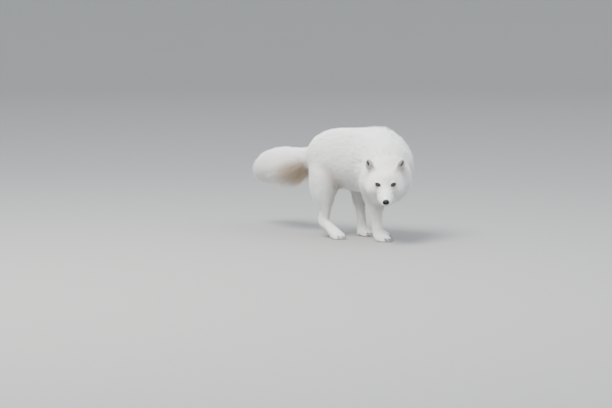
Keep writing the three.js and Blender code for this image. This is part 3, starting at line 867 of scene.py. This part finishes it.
# ---------------------------------------------------------------- eyes
WET = {"Roughness": 0.06, "Specular IOR Level": 0.6, "Coat Weight": 0.5, "Coat Roughness": 0.02}
eye_mat, _, _ = marked_material("eye", WET)
EYE_WHITE = np.array([0.035, 0.02, 0.015])  # the little that shows round the iris
IRIS_INNER, IRIS_OUTER = np.array([0.095, 0.026, 0.012]), np.array([0.022, 0.008, 0.005])
PUPIL = np.array([0.004, 0.003, 0.003])
EYE_FIT = 0.985  # the ball stays just inside the lids
GAZE = unit(0.82 * FORWARD + 0.57 * UP)
for sign, side_name in SIDES.items():
    name = "eye_" + side_name
    look = unit(GAZE + sign * LEFT * 0.04)
    side = unit(np.cross(UP, look))
    over = np.cross(look, side)
    bm = bmesh.new()
    bmesh.ops.create_uvsphere(bm, u_segments=64, v_segments=40, radius=1.0)
    me = bpy.data.meshes.new(name + "_ball")
    bm.to_mesh(me)
    bm.free()
    ob = bpy.data.objects.new(name + "_ball", me)
    bpy.context.scene.collection.objects.link(ob)
    co = np.empty(len(me.vertices) * 3, np.float32)
    me.vertices.foreach_get("co", co)
    co = co.reshape(-1, 3).astype(float)  # z is the pole, along the gaze
    r = np.hypot(co[:, 0], co[:, 1])
    bulge = 1 + 0.045 * smoothstep(0.72, 0.35, r) * (co[:, 2] > 0)
    place = (co[:, :1] * side + co[:, 1:2] * over + co[:, 2:] * look) * bulge[:, None] * EYE_R * EYE_FIT
    me.vertices.foreach_set("co", (place + EYES[sign]).astype(np.float32).ravel())
    me.polygons.foreach_set("use_smooth", np.ones(len(me.polygons), bool))
    front = co[:, 2] > 0
    pupil = smoothstep(0.30, 0.24, np.hypot(co[:, 0] * 1.35, co[:, 1])) * front
    iris = smoothstep(0.76, 0.70, r) * front
    ring = smoothstep(0.42, 0.70, r)
    c = np.tile(EYE_WHITE, (len(co), 1))
    c = mix(c, mix(IRIS_INNER, IRIS_OUTER, ring[:, None]), iris[:, None])
    c = mix(c, PUPIL, pupil[:, None])
    add_colour(me, c)
    me.materials.append(eye_mat)
    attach(ob, "root")
    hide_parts(name)

# ---------------------------------------------------------------- nose
LEATHER = {"Base Color": (0.006, 0.006, 0.007, 1), "Roughness": 0.45, "Specular IOR Level": 0.35}
nose_mat, nt, bsdf = node_material("nose", LEATHER)
noise_bump(nt, bsdf, scale=1400, strength=0.5, distance=0.0004)
NOSE_VOXEL = 0.5 * MM
nose_soup_v, nose_soup_f, _ = soup(["nose"])
made = remeshed(nose_soup_v, nose_soup_f, NOSE_VOXEL)
bm = bmesh.new()
bm.from_mesh(made)
bmesh.ops.triangulate(bm, faces=bm.faces)
bm.to_mesh(made)
bm.free()
nv, nf = arrays(made)
nose_web = Web(nf, len(nv))
nv = nose_web.fair(nv, 14, np.zeros(len(nv)))
_, aside, height = head_coords(nv)
nn = vertex_normals(nv, nf)
pit = np.zeros(len(nv))
for sign in SIDES:
    comma = np.hypot((aside - sign * 4.3) / 2.3, (height + 17.8) / 2.0)
    slit = np.hypot((aside - sign * 6.9) / 2.2, (height + 18.6) / 0.9)
    pit = np.maximum(pit, smoothstep(1.15, 0.35, comma))
    pit = np.maximum(pit, 0.7 * smoothstep(1.2, 0.4, slit))
pit *= nn @ FORWARD > 0.1
cleft = np.exp(-((aside / 0.7) ** 2)) * smoothstep(-13, -17, height) * (nn @ FORWARD > -0.2)
NOSTRIL_DEPTH, CLEFT_DEPTH = 3.0, 0.8
nv = nv - FORWARD * (NOSTRIL_DEPTH * pit + CLEFT_DEPTH * cleft)[:, None] * MM
nose = mesh_object("nose_leather", nv, nf)
nose.data.materials.append(nose_mat)
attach(nose, "root")
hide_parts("nose")

# ---------------------------------------------------------------- claws
claw_mat, _, _ = node_material("claw", {"Base Color": (0.20, 0.165, 0.135, 1), "Roughness": 0.4})
CLAW_LENGTH, CLAW_RADIUS, CLAW_TIP = 14.6, 2.0, 0.05
CLAW_RINGS, CLAW_SIDES = 8, 10
TOE_SPACING = 0.4784  # as a share of the foot's width


def tube(faces, base, rings, sides, turned):
    """The faces of a tube and its two end caps, from the vertex numbered base on; turned reverses each."""
    for i in range(rings):
        for j in range(sides):
            a, b = base + sides * i + j, base + sides * i + (j + 1) % sides
            faces.append((a, a + sides, b + sides, b) if turned else (a, b, b + sides, a + sides))
    first = [base + j for j in range(sides)]
    last = [base + sides * rings + j for j in range(sides)]
    faces.append(first if turned else first[::-1])
    faces.append(last[::-1] if turned else last)


for name, (ball, _, width, foot_length) in FEET.items():
    ahead, left = foot_axes(name)
    verts, faces = [], []
    for toe in (-1.5, -0.5, 0.5, 1.5):
        start = foot_length * (0.62 if abs(toe) < 1 else 0.42) + 8
        aside = toe * width * TOE_SPACING
        base = len(verts)
        for i in range(CLAW_RINGS + 1):
            s = i / CLAW_RINGS
            x = start + CLAW_LENGTH * s
            h = 9 - 0.4 * s - 5.2 * s ** 2.2
            mid = here(*ball, 0) + (ahead * x + left * aside) * MM + np.array([0, 0, h * MM])
            w = CLAW_RADIUS * (1 - s) ** 0.6 + CLAW_TIP
            for j in range(CLAW_SIDES):
                t = 2 * math.pi * j / CLAW_SIDES
                verts.append(mid + (left * 0.8 * math.cos(t) + np.array([0, 0, 1]) * math.sin(t)) * w * MM)
        tube(faces, base, CLAW_RINGS, CLAW_SIDES, turned=True)
    ob = mesh_object("claws_" + name, verts, faces)
    ob.data.materials.append(claw_mat)
    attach(ob, "root")
    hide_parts(*[f"{name.replace('_', '_claw_')}_{k}" for k in (1, 2, 3, 4)])

# ---------------------------------------------------------------- whiskers
WHISKER_ROWS, WHISKER_COLUMNS = (-19, -22, -25), (90, 82, 74)  # up and forward of the middle of the skull
WHISKER_RINGS, WHISKER_SIDES, WHISKER_DROOP = 6, 4, 5
verts, faces = [], []
for sign in SIDES:
    for row, height in enumerate(WHISKER_ROWS):
        for k, ahead in enumerate(WHISKER_COLUMNS):
            start = laid(on_head(ahead + 2 * row, sign * 14, height))
            away = unit(sign * LEFT * 0.9 - FORWARD * (0.25 + 0.1 * k) + UP * (0.10 - 0.16 * row))
            reach = 26 + 7 * k - 2 * row
            base = len(verts)
            for i in range(WHISKER_RINGS + 1):
                s = i / WHISKER_RINGS
                droop = UP * WHISKER_DROOP * s * s
                mid = start + (away * reach * s - droop - FORWARD * WHISKER_DROOP * s * s) * MM
                w = 0.12 * (1 - s) + 0.03
                for j in range(WHISKER_SIDES):
                    t = math.pi / 2 * j
                    verts.append(mid + (FORWARD * math.cos(t) + UP * math.sin(t)) * w * MM)
            tube(faces, base, WHISKER_RINGS, WHISKER_SIDES, turned=False)
whiskers = mesh_object("whiskers", verts, faces)
whisker_mat, _, _ = node_material("whisker", {"Base Color": (0.85, 0.84, 0.82, 1), "Roughness": 0.4})
whiskers.data.materials.append(whisker_mat)
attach(whiskers, "root")

# ---------------------------------------------------------------- floor, light and camera
floor_mat, _, _ = node_material("floor", {"Base Color": (0.31, 0.305, 0.295, 1), "Roughness": 0.9})
FLOOR_RADIUS, COVE, WALL = 10.0, 4.0, 7.0  # a round studio whose floor turns up into its wall
profile = [(FLOOR_RADIUS * k / 6, 0.0) for k in range(1, 7)]
for t in np.linspace(0, math.pi / 2, 13)[1:]:
    profile.append((FLOOR_RADIUS + COVE * math.sin(t), COVE * (1 - math.cos(t))))
profile.append((FLOOR_RADIUS + COVE, WALL))
SEGMENTS = 96
verts = [(0.0, 0.0, 0.0)]
for radius, height in profile:
    for k in range(SEGMENTS):
        t = 2 * math.pi * k / SEGMENTS
        verts.append((radius * math.cos(t), radius * math.sin(t), height))
faces = [(0, 1 + k, 1 + (k + 1) % SEGMENTS) for k in range(SEGMENTS)]
for i in range(len(profile) - 1):
    for k in range(SEGMENTS):
        a, b = 1 + i * SEGMENTS + k, 1 + i * SEGMENTS + (k + 1) % SEGMENTS
        faces.append((a, a + SEGMENTS, b + SEGMENTS, b))
floor = mesh_object("floor", verts, faces)
floor.data.materials.append(floor_mat)

world = bpy.data.worlds.new("studio")
bpy.context.scene.world = world
world.use_nodes = True
sky = world.node_tree.nodes["Background"]
sky.inputs["Color"].default_value = (0.86, 0.92, 1.0, 1)
sky.inputs["Strength"].default_value = 1.9
MIDDLE = Vector((0, 0, 0.17))


def softbox(name, azimuth, elevation, distance, size, power, colour):
    """A round lamp that faces the middle of the animal; azimuth 0 is on its right side, 90 in front of it."""
    a, e = math.radians(azimuth), math.radians(elevation)
    way = Vector((math.sin(a) * math.cos(e), -math.cos(a) * math.cos(e), math.sin(e)))
    light = bpy.data.lights.new(name, "AREA")
    light.shape = "DISK"
    light.size = size
    light.energy = power
    light.color = colour
    ob = bpy.data.objects.new(name, light)
    ob.location = MIDDLE + way * distance
    ob.rotation_mode = "QUATERNION"
    ob.rotation_quaternion = (-way).to_track_quat("-Z", "Y")
    bpy.context.scene.collection.objects.link(ob)


softbox("key", azimuth=0, elevation=55, distance=3.5, size=2.0, power=260, colour=(1, 0.98, 0.95))
softbox("fill", azimuth=90, elevation=30, distance=4.0, size=2.4, power=35, colour=(0.93, 0.96, 1))

AZIMUTH, ELEVATION, DISTANCE, LENS, SENSOR = 36, 6, 6.0, 113.9, 36
AIM_RIGHT, AIM_ABOVE = -105.4, 98.3  # millimetres from the solids' own origin to what the camera looks at
a, e = math.radians(AZIMUTH), math.radians(ELEVATION)
back = np.array([math.sin(a) * math.cos(e), -math.cos(a) * math.cos(e), math.sin(e)])
right = np.array([math.cos(a), math.sin(a), 0])
above = np.cross(back, right)
aim = SHIFT + (AIM_RIGHT * right + AIM_ABOVE * above) * MM
cam = bpy.data.cameras.new("camera")
cam.lens = LENS
cam.sensor_width = SENSOR
cam.clip_start = 0.05
cam.clip_end = 200
cam_ob = bpy.data.objects.new("camera", cam)
cam_ob.location = Vector(aim + back * DISTANCE)
cam_ob.rotation_mode = "QUATERNION"
cam_ob.rotation_quaternion = Vector(-back).to_track_quat("-Z", "Y")
bpy.context.scene.collection.objects.link(cam_ob)
bpy.context.scene.camera = cam_ob
